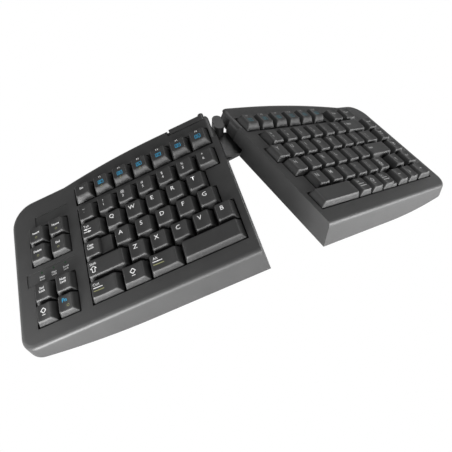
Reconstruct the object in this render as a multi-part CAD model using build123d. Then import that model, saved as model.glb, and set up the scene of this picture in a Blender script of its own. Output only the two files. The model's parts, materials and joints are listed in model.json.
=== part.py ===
from build123d import *
import math
import os

# Ergonomic split keyboard: two tilted halves on a centre hinge, in millimetres.
# Each half is drawn flat, as it lies when the keyboard is closed: X runs outward from the
# parting plane, Y to the rear, Z up, with zero on the pivot. Then it is set at its pose.

# Key field
KEY_PITCH = 19.05
KEY_GAP = 0.75
CAP_HEIGHT = 7.6
CAP_WALL = 1.2
CAP_ROOF = 1.8
CAP_SIDE_SLOPE = 3.0
CAP_FRONT_SLOPE = 2.3
CAP_REAR_SLOPE = 1.5
FUNCTION_FRONT_SLOPE = 4.8
DISH_DEPTH = 0.7
STEP_DROP = 3.2
KEY_TRAVEL = 3.5
STEM_SIDE = 5.6
STEM_LENGTH = 9.3
STEM_CLEARANCE = 0.2
GUIDE_SIDE = 3.6

# Where the closed key field lies from the pivot
PIVOT_BEHIND_KEYS = 123.9
KEYS_ABOVE_PIVOT = 22.5
LEFT_FIELD_INSET = 139.65
RIGHT_FIELD_INSET = 117.35

# Housing
PARTING_HALF_GAP = 0.45
LEFT_MARGIN = 18.1
RIGHT_MARGIN = 16.0
BEZEL_DROP = 5.5
BODY_DEPTH = 25.5
WALL = 2.2
FLOOR = 2.2
FRONT_REACH = 14.7
FRONT_LEAN = 18.5
EDGE_ROLL = 4.5
REAR_INNER = 137.2
LEFT_REAR_OUTER = 129.0
RIGHT_REAR_OUTER = 123.6
LEFT_BEND = 55.0
LEFT_SETTLE = 150.0
RIGHT_BEND = 30.0
RIGHT_SETTLE = 165.0
RELIEF_FRONT = 106.0
RELIEF = 1.2
INNER_CORNER = 8.0
LEFT_REAR_CORNER = 23.0
RIGHT_REAR_CORNER = 20.0
FRONT_CORNER = 14.0
UNDERSIDE_FLAT = 100.0
OUTER_DEPTH = 15.5
UNDERSIDE_RISE = BODY_DEPTH - OUTER_DEPTH
COVER_CLEARANCE = 0.15
WELL_MARGIN = 0.4
LIP = 1.4
RECESS_DEPTH = 0.6

# Key guide plate and switch layers
PLATE_DROP = 11.4
PLATE = 1.6
SLEEVE_TOP_DROP = 5.6
SLEEVE_WALL = 1.1
PLATE_BORDER = 0.6
SHEET = 0.5
DOME_BASE = 2.9
DOME_TOP = 2.0
DOME_HEIGHT = 3.5
DOME_SIDES = 6
MEMBRANE = 0.4
BACKING = 0.8

# Hinge
TENT_ANGLE = 22.0
SPLAY_ANGLE = 18.6
TILT_AXIS = 14.0
BARREL = 2.9
BARREL_FRONT = 28.0
BARREL_REAR = 8.4
TILT_PIN = 1.3
PIVOT_PIN = 1.8
PIVOT_HEAD = 0.8
RUNNING_FIT = 0.06
LEAF = 3.0
LEAF_GAP = 0.3
POST = 4.5
POST_TOP = 14.0
POST_TAIL = 7.5
SPREAD_LIMIT = 30.0
POST_CLEARANCE = 0.8
LUG = 3.0
LUG_GAP = 0.2
BRACKET = 1.5
POCKET_CLEARANCE = 0.9

# Locking lever
LEVER_AXIS = 8.0
LEVER_LENGTH = 31.5
LEVER_DEPTH = 7.6
LEVER_THICKNESS = 5.0
LEVER_PROUD = 0.6
LEVER_EYE = 2.6
LEVER_PIN = 1.0
LEVER_FRONT = 129.6
LEVER_GAP = 0.4
FINGER_NOTCH = 2.4
LEVER_ROLL = 3.5
SHOE = 1.2
SHOE_PLACE = 7.2
SHOE_FIT = 0.05
SHOE_LIFT = 0.35

# Controller board
BOARD_LENGTH = 48.0
BOARD_DEPTH = 30.0
SOCKET_LENGTH = 12.0
SOCKET_DEPTH = 6.0
SOCKET_HEIGHT = 3.0

# Bosses and feet
BOSS = 3.0
BOSS_SIDES = 8
PAD_SIDE = 13.0
PAD_HEIGHT = 1.4
EDGE_FOOT_WIDTH = 7.0
EDGE_FOOT_LENGTH = 34.0
EDGE_FOOT_PROUD = 1.6
EDGE_FOOT_INSET = 12.0
OVERRUN = 60.0

# Heights above the pivot
TOP_Z = KEYS_ABOVE_PIVOT - BEZEL_DROP
BOTTOM_Z = KEYS_ABOVE_PIVOT - BODY_DEPTH
PLATE_TOP_Z = KEYS_ABOVE_PIVOT - PLATE_DROP
PLATE_BOTTOM_Z = PLATE_TOP_Z - PLATE
SHEET_BOTTOM_Z = PLATE_BOTTOM_Z - SHEET
MEMBRANE_BOTTOM_Z = SHEET_BOTTOM_Z - MEMBRANE
BACKING_BOTTOM_Z = MEMBRANE_BOTTOM_Z - BACKING


def run(first, count):
    """A run of single-width keys, each as its left edge and width in pitches."""
    return [(first + step, 1) for step in range(count)]


# Each group of keys: the row's front edge, then each key's left edge and width, as shares of a pitch.
LEFT_KEY_SHARES = {
    "escape_key": (5.25, [(0, 1)]),
    "left_function_keys": (5.25, run(1, 6)),
    "left_number_keys": (4, run(0, 7)),
    "tab_key": (3, [(0, 1.25)]),
    "left_upper_letter_keys": (3, run(1.25, 5)),
    "caps_lock_key": (2, [(0, 1.5)]),
    "left_home_letter_keys": (2, run(1.5, 5)),
    "left_shift_key": (1, [(0, 2)]),
    "left_lower_letter_keys": (1, run(2, 5)),
    "left_control_key": (0, [(0, 1.5)]),
    "system_key": (0, [(1.5, 1.25)]),
    "left_alt_key": (0, [(2.75, 1.5)]),
    "left_space_bar": (0, [(4.25, 2.75)]),
    "editing_keys": (3, [(-2.61, 1), (-1.57, 1)]),
    "lock_keys": (0, [(-2.61, 1), (-1.57, 1)]),
}
RIGHT_KEY_SHARES = {
    "right_function_keys": (5.25, run(6.5, 6)),
    "screen_keys": (5, [(12.8, 1.1), (13.95, 1.1)]),
    "right_number_keys": (4, run(7, 6)),
    "backspace_key": (4, [(13, 1.75)]),
    "right_upper_letter_keys": (3, run(6.5, 7)),
    "backslash_key": (3, [(13.5, 1.25)]),
    "right_home_letter_keys": (2, run(6.75, 6)),
    "enter_key": (2, [(12.75, 2)]),
    "right_lower_letter_keys": (1, run(7.25, 5)),
    "right_shift_key": (1, [(12.25, 1.03)]),
    "right_space_bar": (0, [(6.5, 2.83)]),
    "right_modifier_keys": (0, [(9.33, 1), (10.33, 1), (11.33, 1.33)]),
    "arrow_keys": (0, [(12.7, 1), (13.7, 1), (14.75, 1.25)]),
    "navigation_keys": (1, [(15, 1)]),
}
# The outer edge of each half's key field, as a share of a pitch.
FIELD_EDGE_SHARES = {-1: -2.61, 1: 16}
# The groups that hold two or four rows of keys, with how many rows each has.
STACKED_ROWS = {"editing_keys": 2, "lock_keys": 2, "navigation_keys": 4}
UP_ARROW_SHARES = (1, 13.75, 1)
RAISED_WIDTH_SHARES = {"caps_lock_key": 1.0, "right_modifier_keys": 1.0}
FUNCTION_ROW_SHARE = 5.25
WIDE_KEY_SHARE = 1.75
GUIDE_PLACE_SHARE = 0.28

# Wells in the covers: left edge, right edge, front edge and rear edge, as shares of a pitch.
LEFT_WELL_SHARES = [
    [(0, 7, 5.25, 6.25)],
    [(0, 7, 4, 5), (0, 6.25, 3, 4), (0, 6.5, 2, 3), (0, 7, 0, 2)],
    [(-2.61, -0.57, 3, 5)],
    [(-2.61, -0.57, 0, 2)],
]
RIGHT_WELL_SHARES = [
    [(6.5, 12.5, 5.25, 6.25)],
    [
        (12.8, 15.05, 5, 6),
        (7, 16, 4, 5),
        (6.5, 16, 3, 4),
        (6.75, 16, 2, 3),
        (7.25, 16, 1, 2),
        (6.5, 16, 0, 1),
    ],
]
# The guide plate's strips between wells.
LEFT_LINK_SHARES = [(-0.57, 0, 0.5, 4.5), (0, 7, 4.5, 5.5), (-2.61, -0.57, 1.5, 3.5)]
RIGHT_LINK_SHARES = [(12.5, 12.8, 5.25, 6), (7, 12.5, 4.5, 5.5)]
RIB_SHARES = (0, 5)
CROSS_RIB_SHARES = (1, 4)
BOARD_SHARES = (9.4, 2.5)
INDICATOR_BAND_SHARES = (-2.95, -0.48, 2.08, 2.72)
INDICATOR_SHARES = [(-2.2, 2.6), (-1.6, 2.6), (-1.0, 2.6)]
NAME_PLATE_SHARES = (-2.24, -0.48, 5.14, 5.66)
LEFT_BOSS_SHARES = [
    (-2.7, -0.34), (1.5, -0.34), (4.4, -0.34), (6.6, -0.34), (-2.4, 5.6), (-0.5, 5.9), (3.9, 6.7),
]
RIGHT_BOSS_SHARES = [
    (6.8, -0.34), (9.4, -0.34), (12.4, -0.34), (15.6, -0.34), (15.4, 5.45), (8.6, 6.7),
]


def field_x(share, side):
    """Distance outward from the parting plane of a place in a half's key field."""
    inset = LEFT_FIELD_INSET if side < 0 else RIGHT_FIELD_INSET
    return side * (share * KEY_PITCH - inset)


def field_y(share):
    return share * KEY_PITCH - PIVOT_BEHIND_KEYS


def field_box(shares, side, grow, low, high):
    """A box over a rectangle of the key field, grown sideways, from one height to another."""
    left, right, front, rear = shares
    xs = sorted((field_x(left, side), field_x(right, side)))
    width = xs[1] - xs[0] + 2 * grow
    depth = (rear - front) * KEY_PITCH + 2 * grow
    centre = Pos((xs[0] + xs[1]) / 2, field_y((front + rear) / 2), low)
    return centre * extrude(Rectangle(width, depth), high - low)


def merged(pieces):
    """One solid from several that overlap."""
    whole = pieces[0]
    for piece in pieces[1:]:
        whole = whole + piece
    return whole


def outer_x(side):
    """Distance outward of a half's outer wall: the edge of its key field and a margin."""
    margin = LEFT_MARGIN if side < 0 else RIGHT_MARGIN
    return field_x(FIELD_EDGE_SHARES[side], side) + margin


def half_width(side):
    return outer_x(side) - PARTING_HALF_GAP


def front_block(inset, side):
    """The housing between its flat top and its leaning front, moved in from the outside."""
    lean = math.radians(FRONT_LEAN)
    top = TOP_Z - inset
    edge = -FRONT_REACH - PIVOT_BEHIND_KEYS + inset / math.cos(lean) - inset * math.tan(lean)
    drop = BODY_DEPTH + OVERRUN
    foot = edge - drop * math.tan(lean)
    with BuildSketch(Plane.YZ) as section:
        with BuildLine():
            Polyline((OVERRUN, top), (edge, top), (foot, top - drop), (OVERRUN, top - drop), close=True)
        make_face()
    return extrude(section.sketch, outer_x(side) + OVERRUN)


def plan_outline(inset, side):
    """The housing seen from above, with the hinge relief and the swept rear edge."""
    inner = PARTING_HALF_GAP + inset
    relieved = inner + RELIEF
    step = RELIEF_FRONT - PIVOT_BEHIND_KEYS - inset
    outer = outer_x(side) - inset
    rear = REAR_INNER - PIVOT_BEHIND_KEYS - inset
    low_rear = (LEFT_REAR_OUTER if side < 0 else RIGHT_REAR_OUTER) - PIVOT_BEHIND_KEYS - inset
    bend = LEFT_BEND if side < 0 else RIGHT_BEND
    settle = LEFT_SETTLE if side < 0 else RIGHT_SETTLE
    corner = LEFT_REAR_CORNER if side < 0 else RIGHT_REAR_CORNER
    far = -PIVOT_BEHIND_KEYS - OVERRUN
    with BuildSketch() as plan:
        with BuildLine():
            Polyline((bend, rear), (relieved, rear), (relieved, step), (inner, step), (inner, far))
            Polyline((inner, far), (outer, far), (outer, low_rear), (settle, low_rear))
            TangentArc((bend, rear), (settle, low_rear), tangent=(1, 0))
        make_face()
        corners = plan.vertices()
        fillet(min(corners, key=lambda v: abs(v.X - relieved) + abs(v.Y - rear)), INNER_CORNER - inset)
        corners = plan.vertices()
        fillet(min(corners, key=lambda v: abs(v.X - outer) + abs(v.Y - low_rear)), corner - inset)
    return plan.sketch


def housing_block(inset, side):
    """The housing's outside, or the room inside it, before the underside is cut."""
    low = BOTTOM_Z - OVERRUN / 2
    top = TOP_Z - inset
    outer = outer_x(side) - inset
    block = front_block(inset, side) & Pos(0, 0, low) * extrude(plan_outline(inset, side), top - low)
    upright_edges = [e for e in block.edges() if e.bounding_box().size.Z > BODY_DEPTH]
    front = min(upright_edges, key=lambda e: abs(e.center().X - outer) + e.center().Y)
    block = fillet(front, FRONT_CORNER - inset)
    if inset > 0:
        return block
    sharp = PARTING_HALF_GAP + inset + RELIEF + SHEET
    rolled = [
        e for e in block.edges()
        if abs(e.center().Z - top) < SHEET and e.bounding_box().max.X > sharp
    ]
    return fillet(rolled, EDGE_ROLL)


def underside(raise_by, side):
    """The space above the underside, which is flat and then sweeps up to the outer edge."""
    low = BOTTOM_Z + raise_by
    flat = (PARTING_HALF_GAP + UNDERSIDE_FLAT, low)
    tip = (outer_x(side), low + UNDERSIDE_RISE)
    far = outer_x(side) + OVERRUN
    high = TOP_Z + OVERRUN
    with BuildSketch(Plane.XZ) as section:
        with BuildLine():
            TangentArc(flat, tip, tangent=(1, 0))
            Polyline(tip, (far, tip[1]), (far, high), (-OVERRUN, high), (-OVERRUN, low), flat)
        make_face()
    return Pos(0, OVERRUN, 0) * extrude(section.sketch, REAR_INNER + 3 * OVERRUN)


def mirrored(shape, side):
    """A piece drawn on the right, put on its own side of the parting plane."""
    return shape if side > 0 else shape.mirror(Plane.YZ)


def hinge_pocket(grow):
    """The space at the rear inner corner where the hinge lives, open to the rear and below."""
    front = -(BARREL_FRONT + LUG + LUG_GAP + POCKET_CLEARANCE) - grow
    outer = TILT_AXIS + BARREL + LUG_GAP + BRACKET + grow
    high = BARREL + POCKET_CLEARANCE + grow
    low = BOTTOM_Z - OVERRUN
    box = Box(outer + OVERRUN, OVERRUN - front, high - low, align=(Align.MAX, Align.MIN, Align.MIN))
    return Pos(outer, front, low) * box


def bridge_post(radius, low, high, length):
    """The rounded post on the pivot, with its tail to the rear."""
    tail = Box(2 * radius, length, high - low, align=(Align.CENTER, Align.MIN, Align.MIN))
    return upright(radius, low, high, (0, 0)) + Pos(0, 0, low) * tail


def post_well(grow, side):
    """The room under the top skin, open to the rear, in which the pivot post swings."""
    low, high = -grow, TOP_Z - WALL + grow / 2
    radius = POST + POST_CLEARANCE + grow
    well = bridge_post(radius, low, high, OVERRUN)
    if side > 0:
        corner = radius + POST_TAIL * math.sin(math.radians(SPREAD_LIMIT))
        well = well + Pos(0, 0, low) * Box(corner, OVERRUN, high - low, align=(Align.MIN, Align.MIN, Align.MIN))
    return well


def lever_recess(grow):
    """The recess along the rear edge where the locking lever lies."""
    front = LEVER_FRONT - LEVER_GAP - PIVOT_BEHIND_KEYS - grow
    inner = LEVER_AXIS - LEVER_EYE - LEVER_GAP - grow
    outer = LEVER_AXIS + LEVER_LENGTH + FINGER_NOTCH + grow
    low = TOP_Z + LEVER_PROUD - 2 * LEVER_EYE - LEVER_GAP - grow
    box = Box(outer - inner, OVERRUN, OVERRUN, align=(Align.MIN, Align.MIN, Align.MIN))
    return Pos(inner, front, low) * box


def boss_places(side):
    shares = LEFT_BOSS_SHARES if side < 0 else RIGHT_BOSS_SHARES
    return [(field_x(x, side), field_y(y)) for x, y in shares]


def boss(place):
    """An eight-sided boss under the top skin that a cover screw bites into."""
    return Pos(place[0], place[1], BOTTOM_Z) * extrude(RegularPolygon(BOSS, BOSS_SIDES), TOP_Z - BOTTOM_Z)


def upright(radius, low, high, place):
    tube = Cylinder(radius, high - low, align=(Align.CENTER, Align.CENTER, Align.MIN))
    return Pos(place[0], place[1], low) * tube


def outer_block(side):
    """The closed outside shape of a half."""
    return housing_block(0, side) & underside(0, side)


def top_cover(side):
    """A half's moulded upper shell, with its wells, lips, screw bosses and hinge pocket."""
    outside = outer_block(side)
    inside = housing_block(WALL, side)
    keep = outside & inside
    raised = keep & underside(FLOOR, side)
    cover = outside - inside
    wells = LEFT_WELL_SHARES if side < 0 else RIGHT_WELL_SHARES
    for well in wells:
        lips = [field_box(r, side, WELL_MARGIN + LIP, PLATE_TOP_Z, TOP_Z) for r in well]
        cover = cover + (merged(lips) & keep)
    for place in boss_places(side):
        cover = cover + (boss(place) & raised)
    cover = cover + (hinge_pocket(WALL) & keep) + (post_well(WALL, side) & keep)
    if side < 0:
        cover = cover + (lever_recess(WALL) & keep)
        cover = cover - lever_recess(0) - lever_pin() - shoe_bore()
        for name_shares in (INDICATOR_BAND_SHARES, NAME_PLATE_SHARES):
            cover = cover - field_box(name_shares, side, 0, TOP_Z - RECESS_DEPTH, TOP_Z + WALL)
        for lens in indicator_lenses():
            cover = cover - lens
    for well in wells:
        holes = [field_box(r, side, WELL_MARGIN, PLATE_TOP_Z - SHEET, TOP_Z + WALL) for r in well]
        cover = cover - merged(holes)
    return cover - hinge_pocket(0) - post_well(0, side)


def lever_axis():
    """Distance outward and height of the lever's pin."""
    return LEVER_AXIS, TOP_Z + LEVER_PROUD - LEVER_EYE


def shoe_bore():
    return upright(SHOE + RUNNING_FIT, 0, lever_axis()[1], (TILT_AXIS, SHOE_PLACE))


def bottom_cover(side):
    """A half's lower shell: the swept floor with ribs up to the backing plate."""
    room = housing_block(WALL + COVER_CLEARANCE, side) & outer_block(side)
    cover = room - underside(FLOOR, side)
    main = (LEFT_WELL_SHARES if side < 0 else RIGHT_WELL_SHARES)[1]
    left = min(r[0] for r in main)
    right = max(r[1] for r in main)
    lines = [(share, share, *RIB_SHARES) for share in (left + 1, (left + right) / 2, right - 1)]
    lines = lines + [(left, right, share, share) for share in CROSS_RIB_SHARES]
    for line in lines:
        cover = cover + (field_box(line, side, WALL / 2, BOTTOM_Z, BACKING_BOTTOM_Z) & room)
    return cover - hinge_pocket(WALL + COVER_CLEARANCE)


def floor_height(x, side):
    """Height of the underside at a distance outward, on its flat or its swept arc."""
    run_out = x - PARTING_HALF_GAP - UNDERSIDE_FLAT
    if run_out <= 0:
        return BOTTOM_Z
    reach = half_width(side) - UNDERSIDE_FLAT
    radius = (reach * reach + UNDERSIDE_RISE * UNDERSIDE_RISE) / (2 * UNDERSIDE_RISE)
    return BOTTOM_Z + radius - math.sqrt(radius * radius - run_out * run_out)


def pads():
    """The square rubber feet under the flat of a half."""
    near = PARTING_HALF_GAP + PAD_SIDE
    far = PARTING_HALF_GAP + UNDERSIDE_FLAT - PAD_SIDE
    front = PAD_SIDE - PIVOT_BEHIND_KEYS
    rear = -BARREL_FRONT - LUG - PAD_SIDE
    pad = Box(PAD_SIDE, PAD_SIDE, PAD_HEIGHT, align=(Align.CENTER, Align.CENTER, Align.MAX))
    return [Pos(x, y, BOTTOM_Z) * pad for x in (near, far) for y in (front, rear)]


def feet(side):
    """Round pads for the flat pose and edge strips, level when the half is tilted."""
    body = outer_block(side)
    front = EDGE_FOOT_LENGTH / 2 + EDGE_FOOT_WIDTH - PIVOT_BEHIND_KEYS
    rear = RIGHT_REAR_OUTER - PIVOT_BEHIND_KEYS - LEFT_REAR_CORNER - EDGE_FOOT_LENGTH / 2
    centre = (Align.CENTER, Align.CENTER, Align.MIN)
    strips = []
    for y in (front, rear):
        block = Box(EDGE_FOOT_WIDTH, EDGE_FOOT_LENGTH, EDGE_FOOT_WIDTH, align=centre)
        strip = level_to_half() * Pos(level_foot_x(side), y, -pivot_height()) * block
        strips.append((strip - body).solids().sort_by(Axis.Z)[0])
    return pads() + strips


def level_to_half():
    """Turns a place in the level frame of a tilted right half into the half's own flat frame."""
    return Pos(TILT_AXIS, 0, 0) * Rot(0, -TENT_ANGLE, 0) * Pos(-TILT_AXIS, 0, 0)


def level_foot_x(side):
    """Distance outward of an edge foot's centre, in the level frame of a tilted half."""
    tilt = math.radians(TENT_ANGLE)
    x = outer_x(side) - EDGE_FOOT_INSET
    return TILT_AXIS + (x - TILT_AXIS) * math.cos(tilt) + floor_height(x, side) * math.sin(tilt)


def pivot_height():
    """Height of the pivot over the table when both halves are tilted."""
    tilt = math.radians(TENT_ANGLE)
    x = outer_x(-1)
    return (x - TILT_AXIS) * math.sin(tilt) - floor_height(x, -1) * math.cos(tilt) + EDGE_FOOT_PROUD


def cap_shell(width, depth, height, front_slope):
    """A tapered, dished, hollow keycap with its top at zero."""
    base = Pos(0, 0, -height) * Rectangle(width, depth)
    top_width = width - 2 * CAP_SIDE_SLOPE
    top_depth = depth - front_slope - CAP_REAR_SLOPE
    shift = (front_slope - CAP_REAR_SLOPE) / 2
    top = Pos(0, shift, 0) * Rectangle(top_width, top_depth)
    body = loft([base.face(), top.face()])
    half = top_width / 2
    with BuildSketch(Plane.XZ) as dip:
        with BuildLine():
            Polyline((-half, 0), (-half / 2, -DISH_DEPTH), (half / 2, -DISH_DEPTH), (half, 0), close=True)
        make_face()
    dish = Pos(0, depth, 0) * extrude(dip.sketch, 2 * depth)
    hollow_base = Pos(0, 0, -height) * Rectangle(width - 2 * CAP_WALL, depth - 2 * CAP_WALL)
    share = (height - CAP_ROOF) / height
    hollow_top = Pos(0, shift * share, -CAP_ROOF) * Rectangle(
        width - 2 * CAP_WALL - 2 * CAP_SIDE_SLOPE * share,
        depth - 2 * CAP_WALL - (front_slope + CAP_REAR_SLOPE) * share,
    )
    return body - dish, loft([hollow_base.face(), hollow_top.face()])


def post(side_length, length, x=0.0):
    shaft = Box(side_length, side_length, length - CAP_ROOF, align=(Align.CENTER, Align.CENTER, Align.MAX))
    return Pos(x, 0, -CAP_ROOF) * shaft


def guide_offset(width_share):
    return width_share * KEY_PITCH * GUIDE_PLACE_SHARE


def keycap(width_share, raised_share, front_slope):
    """One keycap with its plunger; a stepped cap has a low shelf beside its raised part."""
    width = width_share * KEY_PITCH - KEY_GAP
    depth = KEY_PITCH - KEY_GAP
    if raised_share < width_share:
        raised = raised_share * KEY_PITCH - KEY_GAP
        outer, hollow = cap_shell(raised, depth, CAP_HEIGHT, front_slope)
        low_outer, low_hollow = cap_shell(width, depth, CAP_HEIGHT - STEP_DROP, CAP_REAR_SLOPE)
        lower = Pos(0, 0, -STEP_DROP)
        place = Pos((raised - width) / 2, 0, 0)
        cap = place * outer + lower * low_outer - place * hollow - lower * low_hollow
    else:
        outer, hollow = cap_shell(width, depth, CAP_HEIGHT, front_slope)
        cap = outer - hollow
    stem_x = (raised_share - width_share) * KEY_PITCH / 2
    cap = cap + post(STEM_SIDE, STEM_LENGTH, stem_x)
    if width_share >= WIDE_KEY_SHARE:
        for way in (-1, 1):
            cap = cap + post(GUIDE_SIDE, STEM_LENGTH, way * guide_offset(width_share))
    return cap


def keys_of(name, side):
    """Each key of a group: row, left edge, width and raised width, as shares of a pitch."""
    row, keys = (LEFT_KEY_SHARES if side < 0 else RIGHT_KEY_SHARES)[name]
    listed = []
    for level in range(STACKED_ROWS.get(name, 1)):
        for left, width in keys:
            raised = RAISED_WIDTH_SHARES.get(name, width) if width > 1 else width
            listed.append((row + level, left, width, raised))
    if name == "arrow_keys":
        listed.append((UP_ARROW_SHARES[0], UP_ARROW_SHARES[1], UP_ARROW_SHARES[2], UP_ARROW_SHARES[2]))
    return listed


def all_keys(side):
    shares = LEFT_KEY_SHARES if side < 0 else RIGHT_KEY_SHARES
    return [key for name in shares for key in keys_of(name, side)]


def key_centre(key, side):
    row, left, width, raised = key
    return field_x(left + width / 2, side), field_y(row + 0.5)


def stem_centre(key, side):
    row, left, width, raised = key
    return field_x(left + raised / 2, side), field_y(row + 0.5)


cap_store = {}


def key_group(name, side):
    caps = []
    for key in keys_of(name, side):
        row, left, width, raised = key
        slope = FUNCTION_FRONT_SLOPE if row == FUNCTION_ROW_SHARE else CAP_FRONT_SLOPE
        kind = (width, raised, slope)
        if kind not in cap_store:
            cap_store[kind] = keycap(*kind)
        cap = cap_store[kind]
        x, y = key_centre(key, side)
        caps.append(Pos(side * x, y, KEYS_ABOVE_PIVOT) * cap)
    return caps


def sleeve_list(side):
    """Each sleeve of a guide plate: its centre and the plunger side that it guides."""
    sleeves = []
    for key in all_keys(side):
        x, y = stem_centre(key, side)
        sleeves.append((x, y, STEM_SIDE))
        if key[2] >= WIDE_KEY_SHARE:
            for way in (-1, 1):
                sleeves.append((x + way * guide_offset(key[2]), y, GUIDE_SIDE))
    return sleeves


def well_plan(side, grow):
    """The outline of all the wells, grown, as one sheet."""
    wells = LEFT_WELL_SHARES if side < 0 else RIGHT_WELL_SHARES
    sheet = Sketch()
    for rects in wells:
        for left, right, front, rear in rects:
            width = (right - left) * KEY_PITCH + 2 * grow
            depth = (rear - front) * KEY_PITCH + 2 * grow
            centre = Pos(field_x((left + right) / 2, side), field_y((front + rear) / 2))
            sheet = sheet + centre * Rectangle(width, depth)
    return sheet


def sheet_border():
    """How far the guide plate reaches past the wells, under the cover's lips."""
    return WELL_MARGIN + LIP + PLATE_BORDER


def bridge_plan(side, grow):
    """The guide plate's whole outline: the wells with the strips between them."""
    sheet = well_plan(side, grow)
    for left, right, front, rear in LEFT_LINK_SHARES if side < 0 else RIGHT_LINK_SHARES:
        centre = Pos(field_x((left + right) / 2, side), field_y((front + rear) / 2))
        sheet = sheet + centre * Rectangle((right - left) * KEY_PITCH, (rear - front) * KEY_PITCH)
    return sheet


def clear_of_post(shape):
    """A layer cut back round the post well in the parting wall."""
    reach = POST + POST_CLEARANCE + WALL + LEAF_GAP
    return shape - Pos(0, 0, TOP_Z / 2) * Box(2 * reach, 2 * reach, TOP_Z)


def key_chassis(side):
    """The guide plate with a square sleeve round each plunger."""
    holes = Sketch()
    walls = Sketch()
    for x, y, stem in sleeve_list(side):
        bore = stem + 2 * STEM_CLEARANCE
        holes = holes + Pos(x, y) * Rectangle(bore, bore)
        walls = walls + Pos(x, y) * Rectangle(bore + 2 * SLEEVE_WALL, bore + 2 * SLEEVE_WALL)
    plate = bridge_plan(side, sheet_border()) - holes
    low = Pos(0, 0, PLATE_BOTTOM_Z) * extrude(plate, PLATE)
    high = Pos(0, 0, PLATE_TOP_Z) * extrude(walls - holes, PLATE_DROP - SLEEVE_TOP_DROP)
    return clear_of_post(low + high)


def dome_sheet(side):
    """The rubber sheet with one collapsing dome under each plunger."""
    sheet = flat_layer(side, PLATE_BOTTOM_Z, SHEET)
    base = RegularPolygon(DOME_BASE, DOME_SIDES)
    top = Pos(0, 0, DOME_HEIGHT) * RegularPolygon(DOME_TOP, DOME_SIDES)
    dome = loft([base.face(), top.face()])
    domes = []
    for key in all_keys(side):
        x, y = stem_centre(key, side)
        domes.append(Pos(x, y, PLATE_BOTTOM_Z) * dome)
    return sheet.fuse(*domes)


def flat_layer(side, high, thickness):
    """A plain sheet of the switch stack, under the guide plate."""
    plan = bridge_plan(side, sheet_border() - WELL_MARGIN)
    return clear_of_post(Pos(0, 0, high - thickness) * extrude(plan, thickness))


def lying(radius, front, rear, x, z):
    """A rod along Y between two places."""
    rod = Cylinder(radius, rear - front, align=(Align.CENTER, Align.CENTER, Align.MIN))
    return Pos(x, front, z) * Rot(-90, 0, 0) * rod


def leaf_low(side):
    """Height of the underside of a leaf's plate: the left one lies over the right one."""
    return LEAF_GAP / 2 if side < 0 else -LEAF_GAP / 2 - LEAF


def hinge_leaf(side):
    """One leaf of the hinge: a barrel on its tilt pin and a plate that turns on the pivot pin."""
    inner = BARREL + LUG_GAP - TILT_AXIS
    low = leaf_low(side)
    plate = Box(TILT_AXIS - inner, BARREL_FRONT, LEAF, align=(Align.MIN, Align.MAX, Align.MIN))
    leaf = lying(BARREL, -BARREL_FRONT, BARREL_REAR, TILT_AXIS, 0)
    leaf = leaf + Pos(inner, 0, low) * plate + upright(POST, low, low + LEAF, (0, 0))
    if side < 0:
        leaf = leaf + bridge_post(POST, low, POST_TOP, POST_TAIL) + upright(POST, low, POST_TOP, (0, POST_TAIL))
        leaf = leaf - upright(PIVOT_PIN, low - LEAF, POST_TOP - LEAF, (0, 0))
    else:
        leaf = leaf - upright(PIVOT_PIN + RUNNING_FIT, low - LEAF, LEAF, (0, 0))
    return leaf - lying(TILT_PIN + RUNNING_FIT, -BARREL_FRONT - LUG, BARREL_REAR + LUG, TILT_AXIS, 0)


def pivot_pin():
    """The upright pin that joins the two leaves, with a head under the lower one."""
    low = leaf_low(1) - LEAF_GAP / 2
    return upright(POST, low - PIVOT_HEAD, low, (0, 0)) + upright(PIVOT_PIN, low, POST_TOP - LEAF, (0, 0))


def lug_span():
    return -BARREL_FRONT - LUG_GAP - LUG, BARREL_REAR + LUG_GAP + LUG


def tilt_pin():
    front, rear = lug_span()
    return lying(TILT_PIN, front, rear, TILT_AXIS, 0)


def hinge_bracket():
    """The bracket with two lugs that carries a tilt pin, fixed to the pocket's wall."""
    front, rear = lug_span()
    back = TILT_AXIS + BARREL + LUG_GAP
    flat = (Align.MIN, Align.MIN, Align.CENTER)
    bracket = Pos(back, front, 0) * Box(BRACKET, rear - front, 2 * BARREL, align=flat)
    for start in (front, rear - LUG):
        bracket = bracket + Pos(TILT_AXIS, start, 0) * Box(back - TILT_AXIS, LUG, 2 * BARREL, align=flat)
        bracket = bracket + lying(BARREL, start, start + LUG, TILT_AXIS, 0)
    return bracket - tilt_pin()


def lock_lever():
    """The lever along the rear edge: an eye on its pin and a long finger plate."""
    x, z = lever_axis()
    front = LEVER_FRONT - PIVOT_BEHIND_KEYS
    eye = lying(LEVER_EYE, front, front + LEVER_DEPTH, x, z)
    top = z + LEVER_EYE
    arm = Box(LEVER_LENGTH, LEVER_DEPTH, LEVER_THICKNESS, align=(Align.MIN, Align.MIN, Align.MAX))
    arm = Pos(x, front, top) * arm
    rear_top = [
        e for e in arm.edges()
        if abs(e.center().Z - top) < SHEET and e.center().Y > front + LEVER_DEPTH - SHEET
    ]
    arm = fillet(rear_top, LEVER_ROLL)
    return eye + arm - lying(LEVER_PIN + RUNNING_FIT, front - LUG, front + LEVER_DEPTH + LUG, x, z)


def lever_pin():
    x, z = lever_axis()
    front = LEVER_FRONT - PIVOT_BEHIND_KEYS
    return lying(LEVER_PIN, front - LEVER_GAP - WALL, front + LEVER_DEPTH, x, z)


def brake_shoe():
    """The plunger between the lever's arm and the hinge barrel."""
    top = TOP_Z + LEVER_PROUD - LEVER_THICKNESS - SHOE_LIFT
    return upright(SHOE, BARREL + SHOE_FIT, top, (TILT_AXIS, SHOE_PLACE))


def indicator_lenses():
    lenses = []
    for x, y in INDICATOR_SHARES:
        place = (field_x(x, -1), field_y(y))
        lenses.append(upright(LEVER_PIN, TOP_Z - WALL - SHEET, TOP_Z - RECESS_DEPTH, place))
    return lenses


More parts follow.
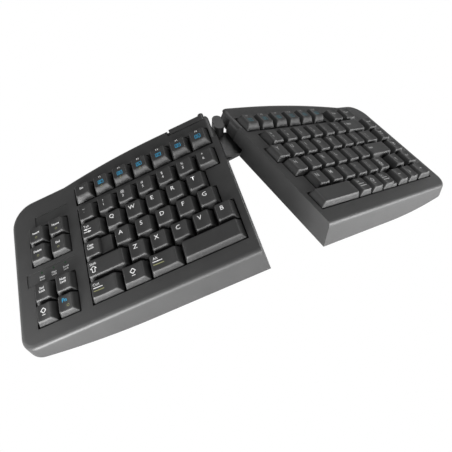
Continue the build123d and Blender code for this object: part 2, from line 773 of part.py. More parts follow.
def controller_board():
    """The circuit board on the right half's floor, with its two connectors."""
    x, y = field_x(BOARD_SHARES[0], 1), field_y(BOARD_SHARES[1])
    low = BOTTOM_Z + FLOOR
    centre = (Align.CENTER, Align.CENTER, Align.MIN)
    board = Pos(x, y, low) * Box(BOARD_LENGTH, BOARD_DEPTH, PLATE, align=centre)
    for way in (-1, 1):
        block = Box(SOCKET_LENGTH, SOCKET_DEPTH, SOCKET_HEIGHT, align=centre)
        board = board + Pos(x + way * SOCKET_LENGTH, y, low + PLATE) * block
    return board


def half_nodes(side):
    """Every piece of one half, drawn flat on the right of the parting plane."""
    word = "left" if side < 0 else "right"
    nodes = {
        word + "_top_cover": [top_cover(side)],
        word + "_bottom_cover": [bottom_cover(side)],
        word + "_key_chassis": [key_chassis(side)],
        word + "_dome_sheet": [dome_sheet(side)],
        word + "_membrane": [flat_layer(side, SHEET_BOTTOM_Z, MEMBRANE)],
        word + "_backing_plate": [flat_layer(side, MEMBRANE_BOTTOM_Z, BACKING)],
        word + "_feet": feet(side),
        word + "_hinge_bracket": [hinge_bracket()],
        word + "_tilt_pin": [tilt_pin()],
    }
    if side < 0:
        nodes["indicator_lenses"] = indicator_lenses()
        nodes["lever_pin"] = [lever_pin()]
        nodes["lock_lever"] = [lock_lever()]
        nodes["brake_shoe"] = [brake_shoe()]
    else:
        nodes["controller_board"] = [controller_board()]
    return nodes


def half_place(side):
    """Where a flat half goes at the photographed tilt and spread."""
    tilt = Pos(side * TILT_AXIS, 0, 0) * Rot(0, side * TENT_ANGLE, 0) * Pos(-side * TILT_AXIS, 0, 0)
    return leaf_place(side) * tilt


def leaf_place(side):
    return Rot(0, 0, side * SPLAY_ANGLE / 2)


def build():
    """The solids of every node at rest, in the pivot's frame."""
    nodes = {}
    for side in (-1, 1):
        word = "left" if side < 0 else "right"
        for name, pieces in half_nodes(side).items():
            nodes[name] = [half_place(side) * mirrored(piece, side) for piece in pieces]
        for name in LEFT_KEY_SHARES if side < 0 else RIGHT_KEY_SHARES:
            nodes[name] = [half_place(side) * cap for cap in key_group(name, side)]
        nodes[word + "_hinge_leaf"] = [leaf_place(side) * mirrored(hinge_leaf(side), side)]
    nodes["pivot_pin"] = [leaf_place(-1) * pivot_pin()]
    return {name: [solid for piece in pieces for solid in piece.solids()] for name, pieces in nodes.items()}


def main():
    os.makedirs("parts", exist_ok=True)
    nodes = build()
    boxes = [solid.bounding_box() for solids in nodes.values() for solid in solids]
    low = [min(getattr(box.min, axis) for box in boxes) for axis in "XYZ"]
    high = [max(getattr(box.max, axis) for box in boxes) for axis in "XYZ"]
    shift = Pos(-(low[0] + high[0]) / 2, -(low[1] + high[1]) / 2, -low[2])
    for name, solids in nodes.items():
        placed = [shift * solid for solid in solids]
        export_step(placed[0] if len(placed) == 1 else Compound(placed), "parts/" + name + ".step")
    print("pivot at", [round(c, 4) for c in shift.position])
    print("size", [round(top - bottom, 2) for top, bottom in zip(high, low)])


main()
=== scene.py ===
import json
import math
from collections import namedtuple

import bpy
import bmesh
from mathutils import Matrix, Vector


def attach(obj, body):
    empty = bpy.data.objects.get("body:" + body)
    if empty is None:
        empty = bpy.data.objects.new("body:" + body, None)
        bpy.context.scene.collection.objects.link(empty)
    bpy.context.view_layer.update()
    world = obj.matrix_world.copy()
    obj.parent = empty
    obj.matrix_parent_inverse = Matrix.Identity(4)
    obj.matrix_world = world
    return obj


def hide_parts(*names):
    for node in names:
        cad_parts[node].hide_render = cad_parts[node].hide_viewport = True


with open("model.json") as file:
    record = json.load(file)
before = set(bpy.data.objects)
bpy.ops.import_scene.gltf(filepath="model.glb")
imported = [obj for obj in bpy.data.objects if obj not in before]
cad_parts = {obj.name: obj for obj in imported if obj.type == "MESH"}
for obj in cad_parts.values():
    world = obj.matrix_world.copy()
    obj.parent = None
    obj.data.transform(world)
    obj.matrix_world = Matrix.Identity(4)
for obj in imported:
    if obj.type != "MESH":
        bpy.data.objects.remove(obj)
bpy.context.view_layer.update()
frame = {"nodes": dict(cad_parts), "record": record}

# The halves' places, in millimetres, with -1 for the left half and 1 for the right

MM = 0.001
PITCH = 19.05
PIVOT = Vector((1.8394, 54.7342, 67.585))
TILT_AXIS = 14.0
TENT = math.radians(22.0)
SPLAY = math.radians(18.6)
INSET = {-1: 139.65, 1: 117.35}
PIVOT_BEHIND_KEYS = 123.9
KEYS_ABOVE_PIVOT = 22.5
BODY_DEPTH = 25.5
SIDE_WORD = {-1: "left", 1: "right"}


def half_matrix(side):
    """From a half's key field (mm, zero on the key tops) to the frame of the scene (m)."""
    field = Matrix.Translation((-INSET[side], -PIVOT_BEHIND_KEYS, KEYS_ABOVE_PIVOT))
    out = Matrix.Translation((side * TILT_AXIS, 0, 0))
    tilt = out @ Matrix.Rotation(side * TENT, 4, "Y") @ out.inverted()
    spread = Matrix.Rotation(side * SPLAY / 2, 4, "Z")
    return Matrix.Scale(MM, 4) @ Matrix.Translation(PIVOT) @ spread @ tilt @ field


HALF = {-1: half_matrix(-1), 1: half_matrix(1)}

# Materials

CLOUD_SCALE = 60.0
CLOUD_DETAIL = 4.0
CLOUD_EDGES = (0.35, 0.65)
GRAIN_SCALE = 2500.0
GRAIN_DETAIL = 3.0
GRAIN_HEIGHT = 0.00004


def linear(level):
    """The linear value of an sRGB level from 0 to 255."""
    level = level / 255
    return level / 12.92 if level <= 0.04045 else ((level + 0.055) / 1.055) ** 2.4


def rgb(red, green, blue):
    """A linear colour from sRGB levels."""
    return (linear(red), linear(green), linear(blue))


def grey(level):
    """A linear grey from one sRGB level."""
    return rgb(level, level, level)


def noise(nodes, links, place, scale, detail):
    """A noise texture fixed to the object."""
    texture = nodes.new("ShaderNodeTexNoise")
    texture.inputs["Scale"].default_value = scale
    texture.inputs["Detail"].default_value = detail
    links.new(place.outputs["Object"], texture.inputs["Vector"])
    return texture


def material(name, colour, rough, grain=0.0, tone=0.06, specular=0.5, coat=0.0, metallic=0.0):
    """A base colour with a slow cloud in it and, where grain is given, a fine moulded grain."""
    mat = bpy.data.materials.new(name)
    mat.use_nodes = True
    nodes = mat.node_tree.nodes
    links = mat.node_tree.links
    shader = nodes["Principled BSDF"]
    shader.inputs["Roughness"].default_value = rough
    shader.inputs["Specular IOR Level"].default_value = specular
    shader.inputs["Coat Weight"].default_value = coat
    shader.inputs["Metallic"].default_value = metallic
    place = nodes.new("ShaderNodeTexCoord")
    cloud = noise(nodes, links, place, CLOUD_SCALE, CLOUD_DETAIL)
    ramp = nodes.new("ShaderNodeValToRGB")
    tones = ([c * (1 - tone) for c in colour], [min(1.0, c * (1 + tone)) for c in colour])
    for element, position, shade in zip(ramp.color_ramp.elements, CLOUD_EDGES, tones):
        element.position = position
        element.color = (*shade, 1)
    links.new(cloud.outputs["Fac"], ramp.inputs["Fac"])
    links.new(ramp.outputs["Color"], shader.inputs["Base Color"])
    if grain > 0:
        fine = noise(nodes, links, place, GRAIN_SCALE, GRAIN_DETAIL)
        bump = nodes.new("ShaderNodeBump")
        bump.inputs["Strength"].default_value = grain
        bump.inputs["Distance"].default_value = GRAIN_HEIGHT
        links.new(fine.outputs["Fac"], bump.inputs["Height"])
        links.new(bump.outputs["Normal"], shader.inputs["Normal"])
    return mat


HOUSING = material("housing_plastic", grey(44), 0.48, grain=0.5, specular=0.5)
CAP = material("keycap_plastic", grey(34), 0.52, grain=0.35, specular=0.55)
DARK = material("chassis_plastic_and_painted_shade", grey(20), 0.6, grain=0.2)
RUBBER = material("black_rubber", grey(28), 0.75, grain=0.3, specular=0.3)
FILM = material("contact_film", grey(170), 0.25)
STEEL = material("zinc_steel", grey(165), 0.35, grain=0.2, metallic=1.0)
HINGE = material("black_hinge_metal", grey(26), 0.45, grain=0.3)
LENS = material("smoky_lens", (0.03, 0.06, 0.035), 0.15, coat=0.5)
BOARD = material("solder_mask", (0.01, 0.09, 0.03), 0.35)
WHITE = material("white_print", grey(205), 0.55, tone=0.03)
# Painted shade: the white print made darker for the keys of the right half.
SHADED_WHITE_PRINT = material("white_print_painted_shade", grey(160), 0.55, tone=0.03)
BLUE = material("blue_print", rgb(40, 125, 160), 0.5, tone=0.1)
# Painted shade: the blue print made darker for the function keys of the right half.
SHADED_BLUE_PRINT = material("blue_print_painted_shade", rgb(45, 90, 100), 0.5, tone=0.1)
OLIVE = material("olive_print", rgb(125, 125, 88), 0.55, tone=0.08)

SLOT_MATERIAL = {
    "housing": HOUSING, "keycap": CAP, "chassis": DARK, "rubber": RUBBER, "film": FILM,
    "steel": STEEL, "hinge_metal": HINGE, "lens": LENS, "board": BOARD,
}
slots = {p["node"]: p["material_slot"] for p in frame["record"]["subparts"]}
for node, obj in frame["nodes"].items():
    obj.data.materials.clear()
    obj.data.materials.append(SLOT_MATERIAL[slots[node]])

# Keycap shapes

CAP_HEIGHT = 7.6
GAP = 0.75
SIDE_SLOPE = 3.0
FRONT_SLOPE = 2.3
REAR_SLOPE = 1.5
FUNCTION_SLOPE = 4.8
DISH = 0.7
WIDE_DISH = 0.25
WIDE_KEY = 1.6
STEP_DROP = 3.2
SHELF_TUCK = 4.6
CORNER = 0.95
CORNER_GROWTH = 0.5
TOP_CORNER = 1.45
TOP_CORNER_LOSS = 0.6
DISH_CORNER = 1.1
LEAST_STRAIGHT = 0.05
WALL_STEPS = 3
BEVEL = 0.55
# The rim from inside out: how much narrower, how far up and its corner radius.
RIM = ((1.6, 0.0, 0.6), (0.1, 0.0, 0.9), (0.0, 0.12, CORNER))
# The rolled edge of the top, as how far in and how far down.
TOP_ROLL = ((0.10, 0.26), (0.32, 0.07), (0.62, 0.0))
# The dished top inside its rolled edge, as shares of its width.
TOP_SHARES = (0.82, 0.6, 0.36, 0.14)


def rounded_loop(cx, cy, w, d, r, count=5, along=6):
    """Points of a rounded rectangle, anticlockwise, with extra points along the straight sides."""
    points = []
    r = min(r, w / 2 - LEAST_STRAIGHT, d / 2 - LEAST_STRAIGHT)
    corners = [(w / 2 - r, d / 2 - r, 0), (-w / 2 + r, d / 2 - r, 90),
               (-w / 2 + r, -d / 2 + r, 180), (w / 2 - r, -d / 2 + r, 270)]
    for i, (x, y, a0) in enumerate(corners):
        for k in range(count + 1):
            a = math.radians(a0 + 90 * k / count)
            points.append((cx + x + r * math.cos(a), cy + y + r * math.sin(a)))
        start = points[-1]
        nx, ny, na = corners[(i + 1) % 4]
        b = math.radians(na)
        end = (cx + nx + r * math.cos(b), cy + ny + r * math.sin(b))
        for k in range(1, along):
            t = k / along
            points.append((start[0] + (end[0] - start[0]) * t, start[1] + (end[1] - start[1]) * t))
    return points


def bridge_rings(bm, rings):
    """Join rings of equal length into one surface, closed by a face over the last."""
    made = [[bm.verts.new(p) for p in ring] for ring in rings]
    n = len(made[0])
    for low, high in zip(made, made[1:]):
        for i in range(n):
            j = (i + 1) % n
            bm.faces.new((low[i], low[j], high[j], high[i]))
    bm.faces.new(made[-1])


def cap_mesh(bm, cx, cy, w, d, height, z0, front, rear, side, dish):
    """One keycap shell's outside, bevelled and dished, its top at z0."""
    top_w, top_d = w - 2 * side, d - front - rear
    top_y = cy + (front - rear) / 2

    def hollow(x, scale=1.0):
        u = (x - cx) / (top_w / 2)
        return -dish * (1 - min(1.0, u * u)) * scale

    rings = []
    for inset, rise, corner in RIM:
        loop = rounded_loop(cx, cy, w - inset, d - inset, corner)
        rings.append([(x, y, z0 - height + rise) for x, y in loop])
    for k in range(1, WALL_STEPS + 1):
        t = k / WALL_STEPS * (height - BEVEL) / height
        loop = rounded_loop(cx, cy + (top_y - cy) * t, w + (top_w - w) * t, d + (top_d - d) * t,
                            CORNER + CORNER_GROWTH * t)
        sag = (k / WALL_STEPS) ** 3
        rings.append([(x, y, z0 - height + height * t + hollow(x, sag)) for x, y in loop])
    for inset, drop in TOP_ROLL:
        loop = rounded_loop(cx, top_y, top_w - 2 * inset, top_d - 2 * inset,
                            TOP_CORNER - inset * TOP_CORNER_LOSS)
        rings.append([(x, y, z0 - drop + hollow(x)) for x, y in loop])
    flat = 2 * TOP_ROLL[-1][0]
    for share in TOP_SHARES:
        loop = rounded_loop(cx, top_y, (top_w - flat) * share, (top_d - flat) * share, DISH_CORNER * share)
        rings.append([(x, y, z0 + hollow(x)) for x, y in loop])
    bridge_rings(bm, rings)
    return top_y, top_w, top_d


# Meshes on a half

LINE_SPACE = 0.92
CURVE_STEPS = 2


def place_mesh(name, mesh, mat, side, body):
    """Put a mesh drawn in a half's key field on its half, riding on a body."""
    mesh.transform(HALF[side])
    mesh.materials.clear()
    mesh.materials.append(mat)
    obj = bpy.data.objects.new(name, mesh)
    bpy.context.scene.collection.objects.link(obj)
    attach(obj, body)
    return obj


def finish_mesh(name, bm, mat, side, body, smooth=True):
    """Turn a drawn mesh into a piece on its half."""
    mesh = bpy.data.meshes.new(name)
    bm.to_mesh(mesh)
    bm.free()
    for poly in mesh.polygons:
        poly.use_smooth = smooth
    return place_mesh(name, mesh, mat, side, body)


def text_mesh(name, words, size, x, y, z_of, mat, side, body, squeeze=1.0, bold=0.0):
    """Printed words laid on a surface whose height z_of gives."""
    curve = bpy.data.curves.new(name + "_curve", "FONT")
    curve.body = words
    curve.size = size
    curve.align_x = "CENTER"
    curve.align_y = "CENTER"
    curve.space_line = LINE_SPACE
    curve.offset = bold * size
    curve.resolution_u = CURVE_STEPS
    temp = bpy.data.objects.new(name + "_temp", curve)
    bpy.context.scene.collection.objects.link(temp)
    bpy.context.view_layer.update()
    mesh = bpy.data.meshes.new_from_object(temp)
    bpy.data.objects.remove(temp)
    bpy.data.curves.remove(curve)
    for v in mesh.vertices:
        px, py = x + v.co.x * squeeze, y + v.co.y
        v.co = Vector((px, py, z_of(px, py)))
    mesh.name = name
    return place_mesh(name, mesh, mat, side, body)


def poly_mesh(name, rings, mat, side, body, z_of):
    """Flat shapes from closed outlines, in key-field coordinates: printed marks, and the painted shade of
    the screws' cross recesses.
    """
    bm = bmesh.new()
    for ring in rings:
        bm.faces.new([bm.verts.new((x, y, z_of(x, y))) for x, y in ring])
    return finish_mesh(name, bm, mat, side, body, smooth=False)


# Keys, with places and widths in pitches and row 0 at the front

Key = namedtuple("Key", "node side row left width legend raised")
FUNCTION_ROW = 5.25
CLUSTER = [-2.61, -1.57]
KEYS = []


def run(first, count):
    """The left edges of keys that stand side by side."""
    return [first + k for k in range(count)]


def add(node, side, row, lefts, legends, widths=None, raised=None):
    """List keys of one row. Those wider than a pitch are stepped where a raised width is given."""
    for left, legend, width in zip(lefts, legends, widths or [1] * len(lefts)):
        high = raised if raised and width > 1 else width
        KEYS.append(Key(node, side, row, left, width, legend, high))


add("escape_key", -1, FUNCTION_ROW, [0], ["Esc"])
add("left_function_keys", -1, FUNCTION_ROW, run(1, 6), ["F%d" % k for k in range(1, 7)])
add("left_number_keys", -1, 4, run(0, 7), ["~|`", "!|1", "@|2", "#|3", "$|4", "%|5", "^|6"])
add("tab_key", -1, 3, [0], ["Tab"], [1.25])
add("left_upper_letter_keys", -1, 3, run(1.25, 5), "QWERT")
add("caps_lock_key", -1, 2, [0], ["Caps\nLock"], [1.5], raised=1.0)
add("left_home_letter_keys", -1, 2, run(1.5, 5), "ASDFG")
add("left_shift_key", -1, 1, [0], ["Shift"], [2])
add("left_lower_letter_keys", -1, 1, run(2, 5), "ZXCVB")
add("left_control_key", -1, 0, [0], ["Ctrl"], [1.5])
add("system_key", -1, 0, [1.5], ["*"], [1.25])
add("left_alt_key", -1, 0, [2.75], ["Alt"], [1.5])
add("left_space_bar", -1, 0, [4.25], [""], [2.75])
add("editing_keys", -1, 4, CLUSTER, ["Insert", "Home"])
add("editing_keys", -1, 3, CLUSTER, ["Delete", "End"])
add("lock_keys", -1, 1, CLUSTER, ["Scrl\nLock", "Num\nLock"])
add("lock_keys", -1, 0, CLUSTER, ["*", "Fn"])
add("right_function_keys", 1, FUNCTION_ROW, run(6.5, 6), ["F%d" % k for k in range(7, 13)])
add("screen_keys", 1, 5, [12.8, 13.95], ["Print", "Pause"], [1.1, 1.1])
add("right_number_keys", 1, 4, run(7, 6), ["&|7", "*|8", "(|9", ")|0", "_|-", "+|="])
add("backspace_key", 1, 4, [13], ["<-- Back"], [1.75])
add("right_upper_letter_keys", 1, 3, run(6.5, 7), ["Y", "U", "I", "O", "P", "{|[", "}|]"])
add("backslash_key", 1, 3, [13.5], ["||\\"], [1.25])
add("right_home_letter_keys", 1, 2, run(6.75, 6), ["H", "J", "K", "L", ":|;", "\"|'"])
add("enter_key", 1, 2, [12.75], ["Enter"], [2])
add("right_lower_letter_keys", 1, 1, run(7.25, 5), ["N", "M", "<|,", ">|.", "?|/"])
add("right_shift_key", 1, 1, [12.25], ["Shift"], [1.03])
add("right_space_bar", 1, 0, [6.5], [""], [2.83])
add("right_modifier_keys", 1, 0, [9.33, 10.33, 11.33], ["Alt", "*", "Ctrl"], [1, 1, 1.33], raised=1.0)
add("arrow_keys", 1, 0, [12.7, 13.7, 14.75], ["left", "down", "right"], [1, 1, 1.25])
add("arrow_keys", 1, 1, [13.75], ["up"])
add("navigation_keys", 1, 4, [15], ["Home"])
add("navigation_keys", 1, 3, [15], ["Page\nUp"])
add("navigation_keys", 1, 2, [15], ["Page\nDn"])
add("navigation_keys", 1, 1, [15], ["End"])


def build_keys():
    """Every node's keycaps as one piece; gives each key top's middle, size and dish."""
    shells = {}
    tops = []
    d = PITCH - GAP
    for key in KEYS:
        bm = shells.setdefault(key.node, (bmesh.new(), key.side))[0]
        front = FUNCTION_SLOPE if key.row == FUNCTION_ROW else FRONT_SLOPE
        cy = (key.row + 0.5) * PITCH
        cx = (key.left + key.raised / 2) * PITCH
        dish = DISH if key.width < WIDE_KEY else WIDE_DISH
        w = key.raised * PITCH - GAP
        top_y, top_w, top_d = cap_mesh(bm, cx, cy, w, d, CAP_HEIGHT, 0, front, REAR_SLOPE, SIDE_SLOPE, dish)
        if key.raised < key.width:
            low = (key.left + key.raised) * PITCH - GAP / 2 - SHELF_TUCK
            high = (key.left + key.width) * PITCH - GAP / 2
            cap_mesh(bm, (low + high) / 2, cy, high - low, d, CAP_HEIGHT - STEP_DROP, -STEP_DROP,
                     REAR_SLOPE, REAR_SLOPE, REAR_SLOPE, 0.0)
        tops.append((cx, top_y, top_w, top_d, dish))
    for node, (bm, side) in shells.items():
        bmesh.ops.recalc_face_normals(bm, faces=bm.faces)
        obj = finish_mesh(node + "_caps", bm, CAP, side, node + "_body")
        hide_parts(node)
    return tops


# Outlines of the printed marks

def arrow_shape(x, y, way, size, shaft=0.12, barb=0.45):
    """The outline of a bar arrow."""
    neck, half, wide = 0.2 * size, shaft * size, barb * size
    shape = [(-size, half), (-size, -half), (neck, -half), (neck, -wide),
             (size, 0), (neck, wide), (neck, half)]
    turn = math.radians({"right": 0, "up": 90, "left": 180, "down": 270}[way])
    c, q = math.cos(turn), math.sin(turn)
    return [(x + px * c - py * q, y + px * q + py * c) for px, py in shape]


def stroke(points, width):
    """A closed outline drawn as one thin printed line: a quad along each of its sides."""
    quads = []
    for (x0, y0), (x1, y1) in zip(points, points[1:] + points[:1]):
        length = math.hypot(x1 - x0, y1 - y0)
        nx, ny = (y0 - y1) / length * width / 2, (x1 - x0) / length * width / 2
        quads.append([(x0 + nx, y0 + ny), (x0 - nx, y0 - ny), (x1 - nx, y1 - ny), (x1 + nx, y1 + ny)])
    return quads


def polygon(x, y, radius, sides, start=0.0):
    """The corners of a regular polygon."""
    angles = [start + 2 * math.pi * k / sides for k in range(sides)]
    return [(x + radius * math.cos(a), y + radius * math.sin(a)) for a in angles]


def bar(x, y, w, h):
    """A flat rectangle, for print or for a screw's cross of painted shade, from its left edge and its
    middle height.
    """
    return [(x, y - h / 2), (x + w, y - h / 2), (x + w, y + h / 2), (x, y + h / 2)]


# The frame and bars of a function key's mark.
FRAME_HALF = (2.4, 1.7)
FRAME_LINE = 0.5
BAR_START = 1.5
BAR_PITCH = 0.95
BAR_LENGTH = 3.0
BAR_STEP = 0.6
BAR_THICK = 0.5


def function_mark(number, x, y):
    """The plain generic glyph of a function key: a frame with three bars, whose lengths vary by key."""
    w, h = FRAME_HALF
    outline = [(x - w, y - h), (x + w, y - h), (x + w, y + h), (x - w, y + h)]
    bars = []
    for k in range(3):
        length = BAR_LENGTH - BAR_STEP * ((number + k) % 3)
        bars.append(bar(x - BAR_START, y - BAR_PITCH + BAR_PITCH * k, length, BAR_THICK))
    return stroke(outline, FRAME_LINE) + bars


# Printing on the keys, with places from the middle of a key's top

PRINT_LIFT = 0.03
WORD_SIZE = 3.4
SMALL_WORD_SIZE = 3.0
# Words and marks as x, y and size.
LETTER = (-1.3, 2.3, 5.6)
UPPER_SYMBOL = (-1.6, 3.0, 3.7)
LOWER_SYMBOL = (-1.6, -1.3, 3.7)
FN_WORD = (-1.0, 2.4, 4.8)
FN_MARK = (1.8, -3.0, 1.1)
DIAMOND = (-0.6, 1.4, 2.3)
EDITING_MARK = (0.0, -3.2, 1.0)
FUNCTION_MARK = (0.0, -1.4)
# A bar as x, y, length and thickness.
DIAMOND_BAR = (-2.0, -2.4, 3.0, 0.5)
# Words at a key's left edge, with x from that edge.
CONTROL_WORD = (4.2, 3.4, WORD_SIZE)
TAB_WORD = (4.4, 3.2, WORD_SIZE)
# The lines under a control word: x from the left edge, y, greatest length, end margin and thickness.
CONTROL_LINES = (("m", 1.6, 0.6, 8.0, 2.6, 0.7), ("n", 1.6, -2.0, 9.0, 2.2, 0.8))
# The tab key's arrows: way and place, with x from the left edge.
TAB_ARROWS = (("m", "left", 5.0, 0.2), ("n", "right", 5.0, -2.4))
TAB_ARROW_SIZES = (3.4, 0.1, 0.34)
SHIFT_INWARD = 4.6
SHIFT_WORD_RISE = 3.2
SHIFT_ARROW_RISE = -1.6
SHIFT_ARROW_SIZES = (2.7, 0.45, 1.0)
FUNCTION_WORD_SIZE = 2.6
FUNCTION_WORD_INWARD = 1.7
FRONT_MARK_SIZE = 0.9
FRONT_MARK_OUTWARD = 0.1
FRONT_MARK_KEYS = ("F1", "F2", "F3")
ARROWS = ("left", "right", "up", "down")
ARROW_SIZE = 2.2
OTHER_WORD_RISE = 1.4
OTHER_WORD_INWARD = 5.0
OTHER_WORD_SQUEEZE = 0.95
SMALL_WORD_KEY = 1.1
CENTRED_WORD_KEY = 1.2
FN_BOLD = 0.03
LETTER_BOLD = 0.006
OTHER_WORD_BOLD = 0.018
THIN_LINE = 0.3
FN_LINE = 0.35
SHIFT_LINE = 0.6
DIAMOND_LINE = 0.7


def print_key(name, key, key_top):
    """The words and marks on one key top."""
    side, legend = key.side, key.legend
    cx, top_y, top_w, top_d, dish = key_top
    body = key.node + "_body"
    # The right half's keys take the darker copy of the white print, as painted shade.
    ink = WHITE if side < 0 else SHADED_WHITE_PRINT
    edge = cx - top_w / 2

    def surface(x, y):
        u = (x - cx) / (top_w / 2)
        return -dish * (1 - min(1.0, u * u)) + PRINT_LIFT

    def at(place, start=cx):
        """A named place in the key field, followed by the sizes that come with it."""
        return (start + place[0], top_y + place[1], *place[2:])

    def put(tag, words, x, y, size, mat=ink, squeeze=1.0, bold=0.0):
        text_mesh(name + tag, words, size, x, y, surface, mat, side, body, squeeze, bold)

    def mark(tag, rings, mat=ink):
        poly_mesh(name + tag, rings, mat, side, body, surface)

    if legend in ARROWS:
        mark("", [arrow_shape(cx, top_y, legend, ARROW_SIZE)])
    elif key.row == FUNCTION_ROW and legend != "Esc":
        put("a", legend, cx, top_y + top_d / 2 - FUNCTION_WORD_INWARD, FUNCTION_WORD_SIZE)
        # The right half's function keys take the darker copy of the blue print, as painted shade.
        mark("b", function_mark(int(legend[1:]), *at(FUNCTION_MARK)), BLUE if side < 0 else SHADED_BLUE_PRINT)
        if legend in FRONT_MARK_KEYS:
            hexagon = polygon(cx, top_y - top_d / 2 - FRONT_MARK_OUTWARD, FRONT_MARK_SIZE, 6)
            mark("c", stroke(hexagon, THIN_LINE), OLIVE)
    elif legend == "*":
        mark("", stroke(polygon(*at(DIAMOND), 4), DIAMOND_LINE) + [bar(*at(DIAMOND_BAR))])
    elif legend == "Fn":
        put("a", legend, *at(FN_WORD), BLUE, bold=FN_BOLD)
        mark("b", stroke(polygon(*at(FN_MARK), 8), FN_LINE), OLIVE)
    elif "|" in legend and len(legend) >= 3:
        put("a", legend[0], *at(UPPER_SYMBOL))
        put("b", legend[-1], *at(LOWER_SYMBOL))
    elif len(legend) == 1:
        put("a", legend, *at(LETTER), bold=LETTER_BOLD)
    elif legend in ("Ctrl", "Alt"):
        put("a", legend, *at(CONTROL_WORD, edge))
        inks = (ink, OLIVE if side < 0 else ink)
        for (tag, x, y, longest, margin, thick), mat in zip(CONTROL_LINES, inks):
            mark(tag, [bar(edge + x, top_y + y, min(longest, top_w - margin), thick)], mat)
    elif legend == "Tab":
        put("a", legend, *at(TAB_WORD, edge))
        for tag, way, x, y in TAB_ARROWS:
            mark(tag, [arrow_shape(edge + x, top_y + y, way, *TAB_ARROW_SIZES)])
    elif legend == "Shift":
        x = edge + min(SHIFT_INWARD, top_w / 2)
        put("a", legend, x, top_y + SHIFT_WORD_RISE, WORD_SIZE if side < 0 else SMALL_WORD_SIZE)
        arrow = arrow_shape(x, top_y + SHIFT_ARROW_RISE, "up", *SHIFT_ARROW_SIZES)
        mark("m", stroke(arrow, SHIFT_LINE))
    elif legend:
        size = SMALL_WORD_SIZE if "\n" in legend or key.width <= SMALL_WORD_KEY else WORD_SIZE
        shift = -top_w / 2 + OTHER_WORD_INWARD if key.width > CENTRED_WORD_KEY else 0
        put("a", legend, cx + shift, top_y + OTHER_WORD_RISE, size,
            squeeze=OTHER_WORD_SQUEEZE, bold=OTHER_WORD_BOLD)
        if key.node == "editing_keys":
            mark("m", stroke(polygon(*at(EDITING_MARK), 5, math.pi / 2), THIN_LINE), OLIVE)


# The words in front of the indicator lenses, with places in pitches

LABEL_DROP = 6.07
LABEL_SIZE = 2.5
LABEL_ROW = 2.33
LABEL_SQUEEZE = 0.95
LABEL_BOLD = 0.02
LABELS = ((-2.2, "Num\nLock"), (-1.6, "Caps\nLock"), (-1.0, "Scroll\nLock"))


def indicator_labels():
    """The two-line words in front of the three lenses in the band between the left key clusters."""
    for column, words in LABELS:
        text_mesh("indicator_" + words[:3].lower(), words, LABEL_SIZE, column * PITCH, LABEL_ROW * PITCH,
                  lambda x, y: -LABEL_DROP, WHITE, -1, "left_half", LABEL_SQUEEZE, LABEL_BOLD)


# The cover screws, in line with some of the bosses, with places in pitches

SCREW_PLACES = {
    -1: [(1.5, -0.34), (4.4, -0.34), (6.6, -0.34), (3.9, 6.7)],
    1: [(6.8, -0.34), (9.4, -0.34), (8.6, 6.7)],
}
# The rings of a screw head, as radius and height over the floor's outside.
SCREW_RINGS = ((2.9, 0.05), (2.9, -0.2), (2.5, -0.45), (1.4, -0.5))
SCREW_SIDES = 20
# The cross recess is drawn as a flat dark sheet of painted shade: its length, width and how far below the
# floor's outside it lies, just past the head's face.
CROSS_LENGTH = 2.4
CROSS_WIDTH = 0.5
CROSS_DROP = 0.53


def cover_screw(side, index, cx, cy):
    """One cross-head screw of a bottom cover, its cross recess drawn as a flat dark sheet of painted shade.
    """
    low = -BODY_DEPTH
    word = SIDE_WORD[side]
    bm = bmesh.new()
    bridge_rings(bm, [[(px, py, low + h) for px, py in polygon(cx, cy, r, SCREW_SIDES)]
                      for r, h in SCREW_RINGS])
    bmesh.ops.recalc_face_normals(bm, faces=bm.faces)
    finish_mesh("%s_cover_screw_%d" % (word, index), bm, STEEL, side, word + "_half", smooth=False)
    # Painted shade: the cross recess is a flat dark sheet in the chassis colour, not a cut in the head.
    cross = [bar(cx - CROSS_LENGTH / 2, cy, CROSS_LENGTH, CROSS_WIDTH),
             bar(cx - CROSS_WIDTH / 2, cy, CROSS_WIDTH, CROSS_LENGTH)]
    poly_mesh("%s_screw_cross_%d" % (word, index), cross, DARK, side, word + "_half",
              lambda px, py: low - CROSS_DROP)


key_tops = build_keys()
for number, (key, key_top) in enumerate(zip(KEYS, key_tops)):
    print_key("legend_%02d" % number, key, key_top)
indicator_labels()
for side, spots in SCREW_PLACES.items():
    for index, (x, y) in enumerate(spots):
        cover_screw(side, index, x * PITCH, y * PITCH)

# Table, backdrop and lights

PURE_WHITE = (1, 1, 1, 1)
PAPER_WHITE = (0.9, 0.9, 0.9, 1)
PAPER_ROUGH = 0.9
FLOOR_SIZE = 6
FLOOR_DROP = 0.0002
WORLD_STRENGTH = 0.2


def seen_white(tree, lit, kind, end):
    """The camera sees plain white, and the light sees the lit shader."""
    white = tree.nodes.new(kind)
    white.inputs["Color"].default_value = PURE_WHITE
    white.inputs["Strength"].default_value = 1.0
    ray = tree.nodes.new("ShaderNodeLightPath")
    mix = tree.nodes.new("ShaderNodeMixShader")
    tree.links.new(ray.outputs["Is Camera Ray"], mix.inputs["Fac"])
    tree.links.new(lit, mix.inputs[1])
    tree.links.new(white.outputs[0], mix.inputs[2])
    tree.links.new(mix.outputs["Shader"], tree.nodes[end].inputs["Surface"])


bpy.ops.mesh.primitive_plane_add(size=FLOOR_SIZE, location=(0, 0, -FLOOR_DROP))
floor = bpy.context.object
floor.name = "floor"
paper = bpy.data.materials.new("paper_white")
paper.use_nodes = True
sheet = paper.node_tree.nodes["Principled BSDF"]
sheet.inputs["Base Color"].default_value = PAPER_WHITE
sheet.inputs["Roughness"].default_value = PAPER_ROUGH
seen_white(paper.node_tree, sheet.outputs["BSDF"], "ShaderNodeEmission", "Material Output")
floor.data.materials.append(paper)

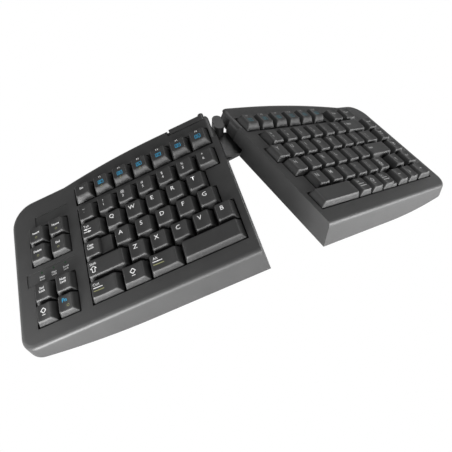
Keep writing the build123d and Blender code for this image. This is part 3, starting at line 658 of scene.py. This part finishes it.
world = bpy.data.worlds.new("studio")
bpy.context.scene.world = world
world.use_nodes = True
background = world.node_tree.nodes["Background"]
background.inputs["Color"].default_value = PURE_WHITE
background.inputs["Strength"].default_value = WORLD_STRENGTH
seen_white(world.node_tree, background.outputs["Background"], "ShaderNodeBackground", "World Output")


def lamp(name, place, aim, size, power, size_y=None):
    """A soft rectangular light."""
    data = bpy.data.lights.new(name, "AREA")
    data.energy = power
    data.shape = "RECTANGLE"
    data.size = size
    data.size_y = size_y or size
    obj = bpy.data.objects.new(name, data)
    bpy.context.scene.collection.objects.link(obj)
    obj.location = place
    obj.rotation_euler = (Vector(aim) - Vector(place)).to_track_quat("-Z", "Y").to_euler()


lamp("front_light", (-0.3, -1.1, 0.4), (0, 0, 0.05), 1.8, 28.0, 0.5)
lamp("left_light", (-0.48, -0.34, 0.05), (-0.2, -0.05, 0.02), 0.25, 4.0, 0.08)
lamp("right_light", (0.55, -0.45, 0.08), (0.12, -0.08, 0.04), 0.5, 6.0, 0.15)
lamp("top_light", (0.5, 0.5, 1.0), (0.05, 0, 0.05), 0.6, 6.0)
lamp("edge_light", (-0.9, 0.2, 0.35), (-0.1, 0, 0.05), 0.4, 2.5)

# Camera at the photograph's angle

EYE = (-0.15134, -0.234225, 0.400927)
EYE_RIGHT = Vector((0.89804, -0.43646, 0.05508))
EYE_DOWN = Vector((-0.3337, -0.75744, -0.56119))
EYE_FORWARD = Vector((0.28666, 0.48559, -0.82585))
SENSOR_WIDTH = 36.0
FOCAL_LENGTH = 39.78
NEAREST = 0.01

camera_data = bpy.data.cameras.new("camera")
camera_data.sensor_width = SENSOR_WIDTH
camera_data.lens = FOCAL_LENGTH
camera_data.clip_start = NEAREST
camera = bpy.data.objects.new("camera", camera_data)
bpy.context.scene.collection.objects.link(camera)
bpy.context.scene.camera = camera
turn = Matrix((EYE_RIGHT, -EYE_DOWN, -EYE_FORWARD)).transposed().to_4x4()
camera.matrix_world = Matrix.Translation(EYE) @ turn

bpy.context.scene.view_settings.view_transform = "Standard"
